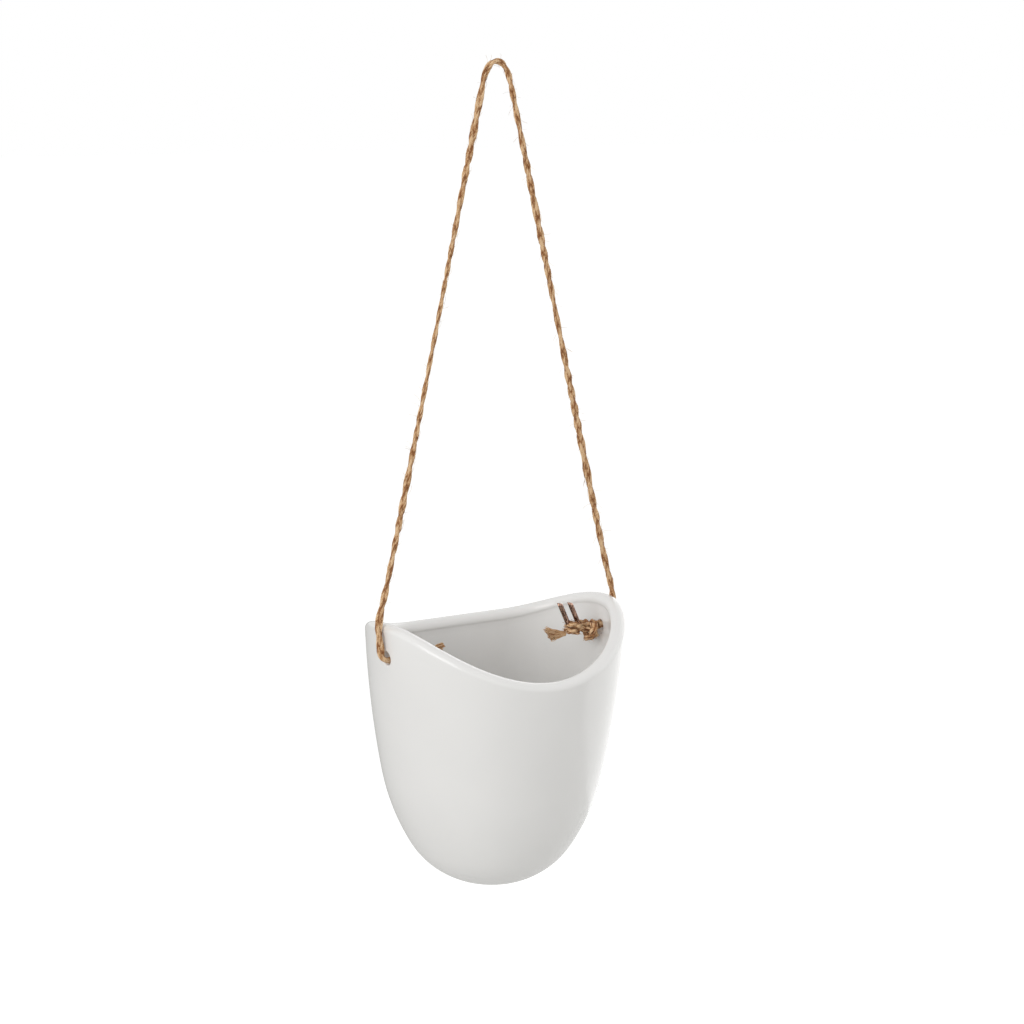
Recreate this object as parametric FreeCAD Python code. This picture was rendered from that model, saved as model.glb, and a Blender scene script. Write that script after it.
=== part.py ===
import FreeCAD, Part
import math
import os

from FreeCAD import Vector

# Wall planter: a glazed ceramic pot with a flat back, hung by one loop of jute twine.
# The twine goes in through a hole under each ear and is knotted inside, and turns of it
# are bound round a split pin at the right knot.
# +X is the width, the front is -Y and +Z is up. The origin is where a hook carries the
# loop: the pot hangs below it, and the wall stands behind it, at y = hook_reach.

# ---- driving dimensions, in millimetres and degrees ----
total_height = 360.0        # foot of the pot to the top of the loop
hook_reach = 31.5           # wall to the middle of the loop's top

pot_width = 115.0           # across the ears
pot_depth = 95.0            # wall to the front rim
pot_height = 125.0          # foot to the top of the ears
wall = 6.0
floor_thickness = 7.5
widest_corner = 32.0        # radius of the upright back corners, where there is room
corner_room = 6.0           # their centres stay this far behind the round body's axis

rim_lean = 1.8              # lean of the side at the rim
side_lean = 11.0            # lean where the long side arc ends
hip_lean = 30.0             # lean where the hip arc ends
foot_lean = 77.0            # lean where the base arc meets the foot
hip_radius = 104.0
base_radius = 39.0

ear_from_wall = 50.0        # wall to the highest point of each ear
back_rim_drop = 15.2        # ear down to the back rim
front_rim_drop = 21.2       # ear down to the front rim
back_rim_power = 2.0        # how the rim falls towards the back
front_rim_power = 1.75      # how the rim falls towards the front
rim_points = 7              # points along each half of the rim's outline
rim_overrun = 6.0           # how far that outline runs past the pot
lip_flat = 0.6              # flat left on top of the rounded lip

hole_diameter = 6.0
hole_below_ear = 14.3
hole_from_wall = 45.5
hole_rounding = 0.8

twine_diameter = 2.8
twine_in_hole = 0.9         # loaded twine runs this far above the hole's axis
twine_off_wall = 0.4        # twine to the side of the pot
loop_top_width = 9.0        # between the two corners of the route over the hook

knot_clearance = 0.75       # knot to the pot's inner wall
knot_diameter = 9.6
knot_length = 11.0
binding_diameter = 7.2
binding_length = 8.6
binding_rise = 1.2          # the binding lies this far above the knot's axis
barrel_end = 6.4            # flat ends of the knots and of the binding

tail_length = 10.6
tail_thickness = 3.4
tail_root_width = 3.6
tail_tip_width = 6.4
oval_points = 8             # points round each oval section of a tail

pin_wire = 2.0
pin_width = 6.8             # over both legs
pin_leg = 13.8              # straight part of each leg
pin_lean = 22.0             # the legs lean away from the side wall
pin_bend_rise = 0.4         # centre of the pin's bend, over the binding's axis
pin_bend_offset = 0.8       # the same, from the binding's middle towards the knot

touching = 0.001            # two places nearer than this are one place
rim_tolerance = 0.05        # the rim's outline keeps this near to its formula

# ---- places that follow from them ----
foot_z = twine_diameter - total_height
ear_z = foot_z + pot_height
wall_y = hook_reach
hole_y = wall_y - hole_from_wall
hole_z = ear_z - hole_below_ear
thread_z = hole_z + twine_in_hole


def sine(lean):
    return math.sin(math.radians(lean))


def outward(lean):
    """Unit vector square to a side that leans in by this many degrees."""
    return Vector(math.cos(math.radians(lean)), 0, -sine(lean))


# The long side arc takes the height that the hip and base arcs leave.
side_radius = (pot_height - hip_radius * (sine(hip_lean) - sine(side_lean))
               - base_radius * (sine(foot_lean) - sine(hip_lean))) / (sine(side_lean) - sine(rim_lean))
bands = [(side_radius, rim_lean, side_lean),
         (hip_radius, side_lean, hip_lean),
         (base_radius, hip_lean, foot_lean)]


def half_width_below_ear(drop):
    """Radius of the round body near the rim, this far under the ears."""
    lean = math.asin(sine(rim_lean) + drop / side_radius)
    return pot_width / 2 - side_radius * (math.cos(math.radians(rim_lean)) - math.cos(lean))


axis_from_wall = pot_depth - half_width_below_ear(front_rim_drop)
axis_y = wall_y - axis_from_wall
corner_radius = min(widest_corner, axis_from_wall - corner_room)


def side_at_hole(inset):
    """Half width of the pot at the holes, for a wall set in by inset."""
    radius = half_width_below_ear(hole_below_ear) - inset
    return math.sqrt(radius ** 2 - (hole_from_wall - axis_from_wall) ** 2)


def blank(inset, floor):
    """Round body set in by inset, cut off flat at the back, its back corners rounded."""
    start = Vector(pot_width / 2, 0, ear_z)
    edges = []
    for radius, lean, end_lean in bands:
        centre = start - outward(lean) * radius
        start = centre + outward(end_lean) * radius
        if floor and end_lean == foot_lean:
            end_lean = math.degrees(math.asin((centre.z - foot_z - floor) / (radius - inset)))
        arc = [centre + outward(a) * (radius - inset) for a in (lean, (lean + end_lean) / 2, end_lean)]
        edges.append(Part.Arc(*arc).toShape())
    rim = edges[0].Vertexes[0].Point
    foot = arc[2]
    top_z = ear_z + rim_overrun
    corners = [rim, Vector(rim.x, 0, top_z), Vector(0, 0, top_z), Vector(0, 0, foot.z), foot]
    edges += [Part.LineSegment(a, b).toShape() for a, b in zip(corners, corners[1:])]
    profile = Part.Face(Part.Wire(Part.__sortEdges__(edges)))
    profile.rotate(Vector(0, 0, 0), Vector(0, 0, 1), -90)
    body = profile.revolve(Vector(0, 0, 0), Vector(0, 0, 1), 360)
    body.translate(Vector(0, axis_y, 0))

    back_y = wall_y - inset
    room = Part.makeBox(2 * pot_width, 2 * pot_depth, 2 * pot_height,
                        Vector(-pot_width, back_y - 2 * pot_depth, foot_z - pot_height / 2))
    body = body.common(room).Solids[0]
    upright = [e for e in body.Edges
               if all(abs(v.Point.y - back_y) < touching for v in e.Vertexes)
               and abs(e.CenterOfMass.y - back_y) < touching
               and e.CenterOfMass.z < top_z - touching]
    return body.makeFillet(corner_radius - inset, upright)


def rim_z(y):
    """Height of the rim, which falls from the ears to the back and to the front."""
    ear_y = wall_y - ear_from_wall
    back = max(0.0, y - ear_y) / ear_from_wall
    front = max(0.0, ear_y - y) / (pot_depth - ear_from_wall)
    return ear_z - back_rim_drop * back ** back_rim_power - front_rim_drop * front ** front_rim_power


def above_rim():
    """Everything above the saddle-shaped rim, as one extrusion across the pot."""
    ear_y = wall_y - ear_from_wall
    ends = [wall_y + rim_overrun, wall_y - pot_depth - rim_overrun]
    across = -pot_width
    curves = []
    for end, onward in ((ends[0], 1), (ends[1], -1)):
        ys = [ear_y + (end - ear_y) * k / (rim_points - 1) for k in range(rim_points)]
        slope = (rim_z(end) - rim_z(end - onward * touching)) / touching
        curve = Part.BSplineCurve()
        curve.interpolate(Points=[Vector(across, y, rim_z(y)) for y in ys],
                          InitialTangent=Vector(0, onward, 0),
                          FinalTangent=Vector(0, onward, slope))
        curves.append(curve.toShape())
    low = [Vector(across, y, rim_z(y)) for y in ends]
    high = [Vector(across, y, ear_z + pot_height / 2) for y in ends]
    sides = [(low[1], high[1]), (high[1], high[0]), (high[0], low[0])]
    edges = curves + [Part.LineSegment(a, b).toShape() for a, b in sides]
    outline = Part.Wire(Part.__sortEdges__(edges))
    return Part.Face(outline).extrude(Vector(2 * pot_width, 0, 0))


def points_on(edge, count=5):
    """Points spread evenly over an edge's parameter range."""
    span = edge.LastParameter - edge.FirstParameter
    return [edge.valueAt(edge.FirstParameter + span * k / (count - 1)) for k in range(count)]


def make_pot():
    shell = blank(0, 0).cut(blank(wall, floor_thickness)).cut(above_rim()).Solids[0]
    lip = [e for e in shell.Edges
           if all(abs(p.z - rim_z(p.y)) < rim_tolerance for p in points_on(e))]
    pot = shell.makeFillet((wall - lip_flat) / 2, lip)

    drill = Part.makeCylinder(hole_diameter / 2, 2 * pot_width,
                              Vector(-pot_width, hole_y, hole_z), Vector(1, 0, 0))
    pot = pot.cut(drill).Solids[0]

    def on_drill(point):
        return abs(math.hypot(point.y - hole_y, point.z - hole_z) - hole_diameter / 2) < touching

    mouths = [e for e in pot.Edges if all(on_drill(p) for p in points_on(e))
              and max(p.x for p in points_on(e)) - min(p.x for p in points_on(e)) < wall / 2]
    return pot.makeFillet(hole_rounding, mouths)


# ---- the twine's route, from the left knot over the hook to the right knot ----
knot_face = side_at_hole(wall) - knot_clearance
thread_x = side_at_hole(0) + twine_off_wall + twine_diameter / 2
lip_x = pot_width / 2 + twine_off_wall + twine_diameter / 2
route = [
    Vector(-knot_face, hole_y, thread_z),
    Vector(-thread_x - 0.7, hole_y, thread_z),
    Vector(-thread_x - 0.8, hole_y + 1.6, thread_z + 9.4),
    Vector(-lip_x, hole_y + 2.0, ear_z + 1.6),
    Vector(-loop_top_width / 2, 0, twine_diameter / 2),
    Vector(loop_top_width / 2, 0, twine_diameter / 2),
    Vector(lip_x, hole_y + 5.0, ear_z + 1.6),
    Vector(thread_x + 0.8, hole_y + 3.6, thread_z + 9.0),
    Vector(thread_x + 0.7, hole_y, thread_z),
    Vector(knot_face, hole_y, thread_z),
]


def make_twine():
    """Tube of straight runs joined by tangent arcs, each as large as its runs allow."""
    edges = []
    at = route[0]
    for before, corner, after in zip(route, route[1:], route[2:]):
        into = (corner - before).normalize()
        out = (after - corner).normalize()
        turn = into.getAngle(out)
        reach = 0.45 * min((corner - before).Length, (after - corner).Length)
        radius = reach / math.tan(turn / 2)
        first = corner - into * reach
        last = corner + out * reach
        inward = (out - into).normalize()
        middle = corner + inward * radius * (1 / math.cos(turn / 2) - 1)
        edges.append(Part.LineSegment(at, first).toShape())
        edges.append(Part.Arc(first, middle, last).toShape())
        at = last
        print(f"turn {math.degrees(turn):5.1f} degrees, radius {radius:7.1f} mm")
    edges.append(Part.LineSegment(at, route[-1]).toShape())
    path = Part.Wire(edges)
    start = Part.Circle(route[0], route[1] - route[0], twine_diameter / 2).toShape()
    tube = path.makePipeShell([Part.Wire(start)], True, True)
    section = math.pi * twine_diameter ** 2 / 4
    print(f"twine {path.Length:.1f} mm long, volume over section times length "
          f"{tube.Volume / (section * path.Length):.4f}")
    return tube


def barrel(x, length, z, diameter):
    """Crowned round bundle of turns along X, flat at both ends, from x towards x + length."""
    end = barrel_end / 2
    crown = Part.Arc(Vector(x, hole_y, z + end), Vector(x + length / 2, hole_y, z + diameter / 2),
                     Vector(x + length, hole_y, z + end)).toShape()
    corners = [Vector(x + length, hole_y, z + end), Vector(x + length, hole_y, z),
               Vector(x, hole_y, z), Vector(x, hole_y, z + end)]
    sides = [Part.LineSegment(a, b).toShape() for a, b in zip(corners, corners[1:])]
    face = Part.Face(Part.Wire([crown] + sides))
    return face.revolve(Vector(x, hole_y, z), Vector(1, 0, 0), 360)


def oval(x, z, width):
    """Oval section of a tail, square to X and this wide from top to bottom."""
    turns = [2 * math.pi * k / oval_points for k in range(oval_points)]
    curve = Part.BSplineCurve()
    curve.interpolate(Points=[Vector(x, hole_y + tail_thickness / 2 * math.cos(t),
                                     z + width / 2 * math.sin(t)) for t in turns],
                      PeriodicFlag=True)
    return Part.Wire(curve.toShape())


def frayed_tail(x, inward, z):
    """Brush of loose fibre that spreads from its root at x to a flat wide tip."""
    middle_width = (tail_root_width + tail_tip_width) / 2
    sections = [oval(x, z, tail_root_width),
                oval(x + inward * tail_length / 2, z, middle_width),
                oval(x + inward * tail_length, z, tail_tip_width)]
    return Part.makeLoft(sections, True, False)


binding_z = hole_z + binding_rise
binding_x = knot_face - knot_length - binding_length


def make_pin():
    """U of round wire, its legs up and leaning away from the side wall."""
    spread = (pin_width - pin_wire) / 2
    middle = Vector(binding_x + binding_length / 2 + pin_bend_offset, hole_y,
                    binding_z + pin_bend_rise)
    tops = [middle + Vector(s * spread, 0, pin_leg) for s in (-1, 1)]
    feet = [middle + Vector(s * spread, 0, 0) for s in (-1, 1)]
    path = Part.Wire([Part.LineSegment(tops[0], feet[0]).toShape(),
                      Part.Arc(feet[0], middle - Vector(0, 0, spread), feet[1]).toShape(),
                      Part.LineSegment(feet[1], tops[1]).toShape()])
    start = Part.Circle(tops[0], Vector(0, 0, -1), pin_wire / 2).toShape()
    pin = path.makePipeShell([Part.Wire(start)], True, True)
    pin.rotate(middle, Vector(0, 1, 0), -pin_lean)
    return pin


split_pin = make_pin()
nodes = {
    "pot": make_pot(),
    "twine_loop": make_twine(),
    "left_knot": barrel(-knot_face, knot_length, hole_z, knot_diameter),
    "right_knot": barrel(knot_face, -knot_length, hole_z, knot_diameter),
    "left_tail": frayed_tail(knot_length - knot_face, 1, hole_z),
    "pin_binding": barrel(binding_x, binding_length, binding_z, binding_diameter).cut(split_pin),
    "right_tail": frayed_tail(binding_x, -1, hole_z),
    "split_pin": split_pin,
}

os.makedirs("parts", exist_ok=True)
for name, shape in nodes.items():
    print(f"{name}: {len(shape.Solids)} solid, valid {shape.isValid()}, {shape.Volume:.0f} mm3")
    shape.exportStep(f"parts/{name}.step")
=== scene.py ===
import math
from functools import partial

import bmesh
import bpy
import numpy as np
from bpy.props import FloatProperty, FloatVectorProperty, IntProperty, PointerProperty
from mathutils import Matrix, Vector


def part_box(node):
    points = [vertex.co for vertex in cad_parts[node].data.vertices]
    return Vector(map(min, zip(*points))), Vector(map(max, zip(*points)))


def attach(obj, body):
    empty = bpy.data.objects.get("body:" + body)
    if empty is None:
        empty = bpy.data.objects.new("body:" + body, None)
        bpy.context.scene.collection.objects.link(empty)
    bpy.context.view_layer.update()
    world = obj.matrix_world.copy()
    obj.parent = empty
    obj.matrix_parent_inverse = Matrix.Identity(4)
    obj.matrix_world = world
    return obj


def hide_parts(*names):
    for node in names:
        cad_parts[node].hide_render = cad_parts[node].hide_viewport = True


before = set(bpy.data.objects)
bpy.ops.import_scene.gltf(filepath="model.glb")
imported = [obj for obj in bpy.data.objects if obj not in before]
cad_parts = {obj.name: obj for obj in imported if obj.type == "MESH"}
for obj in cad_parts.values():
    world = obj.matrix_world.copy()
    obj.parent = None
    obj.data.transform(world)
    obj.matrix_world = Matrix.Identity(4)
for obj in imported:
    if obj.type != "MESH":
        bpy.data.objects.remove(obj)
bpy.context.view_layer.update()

bl_info = {
    "name": "Hanging wall planter",
    "version": (1, 0, 0),
    "blender": (4, 5, 0),
    "location": "3D View > Sidebar > Planter",
    "description": "Glazed pot with a flat back, hung by a loop of jute twine",
    "category": "Object",
}

# +X is the width, the front is -Y and +Z is up. The origin is where a hook carries the
# loop. Lengths are in metres, and most are written as a number of millimetres.
MM = 0.001
POT_LOW, POT_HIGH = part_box("pot")
KNOT_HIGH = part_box("right_knot")[1]
BINDING_LOW, BINDING_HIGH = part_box("pin_binding")
BINDING_X = (BINDING_LOW.x + BINDING_HIGH.x) / 2
BINDING_Z = (BINDING_LOW.z + BINDING_HIGH.z) / 2
TAIL_LOW, TAIL_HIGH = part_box("right_tail")
WALL_Y = POT_HIGH.y
EAR_Z = POT_HIGH.z
FOOT_Z = POT_LOW.z
HOLE_Y = WALL_Y - 45.5 * MM
HOLE_Z = EAR_Z - 14.3 * MM


def linear(colour):
    """An sRGB colour, written as #RRGGBB, as linear red, green and blue."""
    parts = [int(colour[k:k + 2], 16) / 255 for k in (1, 3, 5)]
    return [c / 12.92 if c <= 0.04045 else ((c + 0.055) / 1.055) ** 2.4 for c in parts]


# ---- what a user would change ----

def length(label, text, millimetres, high=1000.0):
    """Settings of a property that holds a length."""
    return {"name": label, "description": text, "default": millimetres * MM,
            "min": 0.01 * MM, "max": high * MM, "unit": "LENGTH", "precision": 5}


def tint(label, text, colour):
    """Settings of a property that holds a colour."""
    return {"name": label, "description": text, "default": linear(colour),
            "size": 3, "min": 0.0, "max": 1.0, "subtype": "COLOR"}


class PotSettings(bpy.types.PropertyGroup):
    width: FloatProperty(**length("Width", "Across the ears", 115.0))
    depth: FloatProperty(**length("Depth", "Wall to the front rim", 95.0))
    wall: FloatProperty(**length("Wall", "Thickness of the side", 6.0))
    floor: FloatProperty(**length("Floor", "Thickness of the floor", 7.5))
    corner: FloatProperty(**length("Back corner", "Radius of each upright corner", 32.0))
    ear: FloatProperty(**length("Ear", "Wall to the top of each ear", 50.0))
    back_drop: FloatProperty(**length("Back drop", "Ears down to the back rim", 15.2))
    front_drop: FloatProperty(**length("Front drop", "Ears down to the front rim", 21.2))
    lip: FloatProperty(**length("Lip", "Radius of the rim's outer edge", 2.7))
    roll: FloatProperty(**length("Roll", "Radius of the rim's inner edge", 3.2))
    bead: FloatProperty(**length("Bead", "How far the roll stands in over the wall", 0.5))
    tuck: FloatProperty(**length("Tuck", "Height of the bend under the roll", 1.7))
    hole: FloatProperty(**length("Hole", "Diameter of the twine holes", 6.0))
    hole_edge: FloatProperty(**length("Hole edge", "Rounding of the holes", 0.8))
    rim_lean: FloatProperty(
        name="Rim lean", description="Lean of the side at the rim",
        default=math.radians(1.8), subtype="ANGLE")
    glaze: FloatVectorProperty(**tint("Glaze", "Colour of the glaze", "#F0EFED"))
    bisque: FloatVectorProperty(**tint("Bisque", "Bare clay under the foot", "#D9D2C6"))


class TwineSettings(bpy.types.PropertyGroup):
    diameter: FloatProperty(**length("Twine", "Diameter over both plies", 2.8))
    lay: FloatProperty(**length("Lay", "Length of one turn of the plies", 20.0))
    strand_lay: FloatProperty(**length("Ply lay", "One turn inside a ply", 14.0))
    strands: IntProperty(
        name="Strands", description="Strands of fibre in each ply", default=9, min=3, max=12)
    hairs: IntProperty(
        name="Hairs", description="Loose fibres along the loop", default=520, min=0, max=3000)
    fibres: IntProperty(
        name="Fibres", description="Fibres in each frayed end", default=260, min=10, max=800)
    light: FloatVectorProperty(**tint("Light", "Light fibres", "#E6C59C"))
    middle: FloatVectorProperty(**tint("Middle", "Most fibres", "#C5996C"))
    dark: FloatVectorProperty(**tint("Dark", "Dark fibres", "#8C5930"))


class PinSettings(bpy.types.PropertyGroup):
    wire: FloatProperty(**length("Wire", "Diameter of the pin's wire", 2.2))
    width: FloatProperty(**length("Width", "Over both legs", 6.8))
    inner_leg: FloatProperty(**length("Inner leg", "Straight leg away from the pot's side", 15.1))
    outer_leg: FloatProperty(**length("Outer leg", "Straight leg near the pot's side", 12.6))
    lean: FloatProperty(
        name="Lean", description="Lean of the legs away from the side of the pot",
        default=math.radians(25.0), subtype="ANGLE")
    steel: FloatVectorProperty(**tint("Steel", "Colour of the steel", "#6C564B"))


class StudioSettings(bpy.types.PropertyGroup):
    lens: FloatProperty(
        name="Lens", description="Focal length on a sensor 36 mm wide", default=74.45, unit="CAMERA")
    distance: FloatProperty(**length("Distance", "Camera to the object", 913.3, high=9000))
    floor_depth: FloatProperty(**length("Floor depth", "Floor under the hook", 1200.0, high=9000))
    key: FloatProperty(
        name="Key", description="Power of the lamp at the left", default=10.3, unit="POWER")
    fill: FloatProperty(
        name="Fill", description="Power of the wide lamp at the right", default=17.0, unit="POWER")
    ambient: FloatProperty(
        name="Ambient", description="Strength of the light from all round", default=0.69)
    ground: FloatVectorProperty(**tint("Floor", "Colour of the floor", "#D8D8D6"))


# ---- node trees ----

def add_node(tree, kind, inputs=(), operation=None, **settings):
    """Adds one node with its settings and returns its outputs.

    The inputs are values or other nodes' outputs, listed in order or named by their sockets.
    """
    node = tree.nodes.new(kind)
    if operation:
        node.operation = operation
    for name, value in settings.items():
        setattr(node, name, value)
    for key, value in inputs.items() if isinstance(inputs, dict) else enumerate(inputs):
        socket = node.inputs[key]
        if isinstance(value, bpy.types.NodeSocket):
            tree.links.new(value, socket)
        else:
            socket.default_value = value
    return node.outputs


def new_tree(name, **sizes):
    """Geometry Nodes tree whose inputs are a mesh, a material and these named sizes.

    Returns the tree, the function that adds to it, and what it is given.
    """
    tree = bpy.data.node_groups.new(name, "GeometryNodeTree")
    sockets = tree.interface
    sockets.new_socket("Geometry", in_out="INPUT", socket_type="NodeSocketGeometry")
    sockets.new_socket("Material", in_out="INPUT", socket_type="NodeSocketMaterial")
    for label, default in sizes.items():
        kind = "NodeSocketInt" if isinstance(default, int) else "NodeSocketFloat"
        sockets.new_socket(label, in_out="INPUT", socket_type=kind).default_value = default
    sockets.new_socket("Geometry", in_out="OUTPUT", socket_type="NodeSocketGeometry")
    return tree, partial(add_node, tree), tree.nodes.new("NodeGroupInput").outputs


def end_tree(add, shape, given):
    """Ends a tree with real meshes that carry its material."""
    real = add("GeometryNodeRealizeInstances", {"Geometry": shape})[0]
    painted = add("GeometryNodeSetMaterial", {"Geometry": real, "Material": given["Material"]})[0]
    smooth = add("GeometryNodeSetShadeSmooth", {"Geometry": painted})[0]
    add("NodeGroupOutput", {"Geometry": smooth})


def bake(name, tree, mesh, **values):
    """Runs a tree on a mesh and keeps what it makes as one plain mesh."""
    piece = bpy.data.objects.new(name, mesh)
    bpy.context.scene.collection.objects.link(piece)
    modifier = piece.modifiers.new(tree.name, "NODES")
    modifier.node_group = tree
    for socket in tree.interface.items_tree:
        if socket.in_out == "INPUT" and socket.name in values:
            modifier[socket.identifier] = values[socket.name]
    graph = bpy.context.evaluated_depsgraph_get()
    made = bpy.data.meshes.new_from_object(
        piece.evaluated_get(graph), preserve_all_data_layers=True, depsgraph=graph)
    piece.modifiers.clear()
    piece.data = made
    made.name = name
    return piece


def hand_over(piece, slot, *nodes):
    """A finished piece rides on the one body and stands for these nodes."""
    if not piece.data.polygons:
        raise RuntimeError(f"{piece.name} has no faces")
    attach(piece, "root")
    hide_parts(*nodes)


def shown(name, mesh, material):
    """A mesh made by hand, as an object in the scene."""
    mesh.materials.append(material)
    piece = bpy.data.objects.new(name, mesh)
    bpy.context.scene.collection.objects.link(piece)
    return piece


def tubes(add, curves, sides, radius, scale):
    """Closed tubes round curves, whose radius is multiplied by the scale along them."""
    section = add("GeometryNodeCurvePrimitiveCircle", {"Resolution": sides, "Radius": radius})[0]
    return add("GeometryNodeCurveToMesh", {"Curve": curves, "Profile Curve": section,
                                           "Scale": scale, "Fill Caps": True})[0]


def laid_twine_tree():
    """Two plies laid round a path, each of several strands twisted the other way."""
    tree, add, given = new_tree("laid_twine", diameter=2.8 * MM, lay=20.0 * MM, strand_lay=14.0 * MM,
                                strands=9, step=0.9 * MM, looseness=0.55, seed=1)
    path = add("GeometryNodeMeshToCurve", {"Mesh": given["Geometry"]})[0]
    even = add("GeometryNodeResampleCurve", {"Curve": path, "Length": given["step"]}, mode="LENGTH")[0]
    amount = add("ShaderNodeMath", (given["strands"], 2.0), "MULTIPLY")[0]
    copies = add("GeometryNodeDuplicateElements", {"Geometry": even, "Amount": amount}, domain="SPLINE")
    index = copies["Duplicate Index"]
    along = add("GeometryNodeSplineParameter")["Length"]
    swell = add("GeometryNodeInputNamedAttribute", {"Name": "swell"}, data_type="FLOAT")[0]
    across = add("GeometryNodeInputNormal")[0]
    forward = add("GeometryNodeInputTangent")[0]
    square = add("ShaderNodeVectorMath", (forward, across), "CROSS_PRODUCT")[0]
    quarter = add("ShaderNodeMath", (given["diameter"], 0.25), "MULTIPLY")[0]
    unit = add("ShaderNodeMath", (quarter, swell), "MULTIPLY")[0]

    # Each strand wanders a little, on a wave about 16 mm long.
    wave = add("ShaderNodeMath", (along, 1 / (16 * MM)), "MULTIPLY")[0]
    apart = add("ShaderNodeMath", (index, 3.7), "MULTIPLY")[0]
    place = add("ShaderNodeCombineXYZ", (wave, apart, given["seed"]))[0]
    noise = add("ShaderNodeTexNoise", {"Vector": place, "Scale": 1.0, "Detail": 1.0})["Fac"]
    spread = add("ShaderNodeMath", (noise, 0.5), "SUBTRACT")[0]
    wander = add("ShaderNodeMath", (spread, given["looseness"], 1.0), "MULTIPLY_ADD")[0]

    # Hand-laid turns are uneven, up to a quarter of a turn early or late.
    slow = add("ShaderNodeMath", (along, 1 / (35 * MM)), "MULTIPLY")[0]
    slow_place = add("ShaderNodeCombineXYZ", (slow, given["seed"]))[0]
    uneven = add("ShaderNodeTexNoise", {"Vector": slow_place, "Scale": 1.0, "Detail": 0.0})["Fac"]

    # The plies turn one way and the strands in them the other. Both reaches and a strand's
    # radius are shares of a quarter of the twine's diameter.
    ply_reach = 0.62
    strand_reach = 0.86
    strand_radius = 0.42
    moved = None
    for share, lay, turn, start in ((ply_reach, given["lay"], -2 * math.pi, math.pi),
                                    (strand_reach, given["strand_lay"], 2 * math.pi, math.pi / 9)):
        even_turns = add("ShaderNodeMath", (along, lay), "DIVIDE")[0]
        turns = add("ShaderNodeMath", (even_turns, uneven), "ADD")[0]
        begin = add("ShaderNodeMath", (index, start), "MULTIPLY")[0]
        angle = add("ShaderNodeMath", (turns, turn, begin), "MULTIPLY_ADD")[0]
        reach = add("ShaderNodeMath", (unit, share), "MULTIPLY")[0]
        radius = add("ShaderNodeMath", (reach, wander), "MULTIPLY")[0]
        for direction, wave_form in ((across, "COSINE"), (square, "SINE")):
            part = add("ShaderNodeMath", (angle,), wave_form)[0]
            size = add("ShaderNodeMath", (part, radius), "MULTIPLY")[0]
            step = add("ShaderNodeVectorMath", {0: direction, "Scale": size}, "SCALE")[0]
            if moved is not None:
                step = add("ShaderNodeVectorMath", (moved, step), "ADD")[0]
            moved = step

    # What the material reads: metres along the twine, the strand's own tone, and its wave.
    tone = add("FunctionNodeRandomValue", {2: 0.0, 3: 1.0, 7: index, 8: given["seed"]},
               data_type="FLOAT")[1]
    grain = add("ShaderNodeCombineXYZ", (along, tone, noise))[0]
    marked = add("GeometryNodeStoreNamedAttribute",
                 {"Geometry": copies["Geometry"], "Name": "grain", "Value": grain},
                 data_type="FLOAT_VECTOR", domain="POINT")[0]
    # Strands deep between the plies get painted shade: their colour is darkened where shade falls between
    # the plies.
    full = add("ShaderNodeMath", (unit, ply_reach + strand_reach), "MULTIPLY")[0]
    off = add("ShaderNodeVectorMath", (moved,), "LENGTH")["Value"]
    share = add("ShaderNodeMath", (off, full), "DIVIDE")[0]
    hollow = add("ShaderNodeMapRange", {0: share, 1: 0.4, 2: 0.8, 3: 1.0, 4: 0.0})[0]
    marked = add("GeometryNodeStoreNamedAttribute",
                 {"Geometry": marked, "Name": "hollow", "Value": hollow},
                 data_type="FLOAT", domain="POINT")[0]
    laid = add("GeometryNodeSetPosition", {"Geometry": marked, "Offset": moved})[0]
    end_tree(add, tubes(add, laid, 5, strand_radius, unit), given)
    return tree


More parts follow.
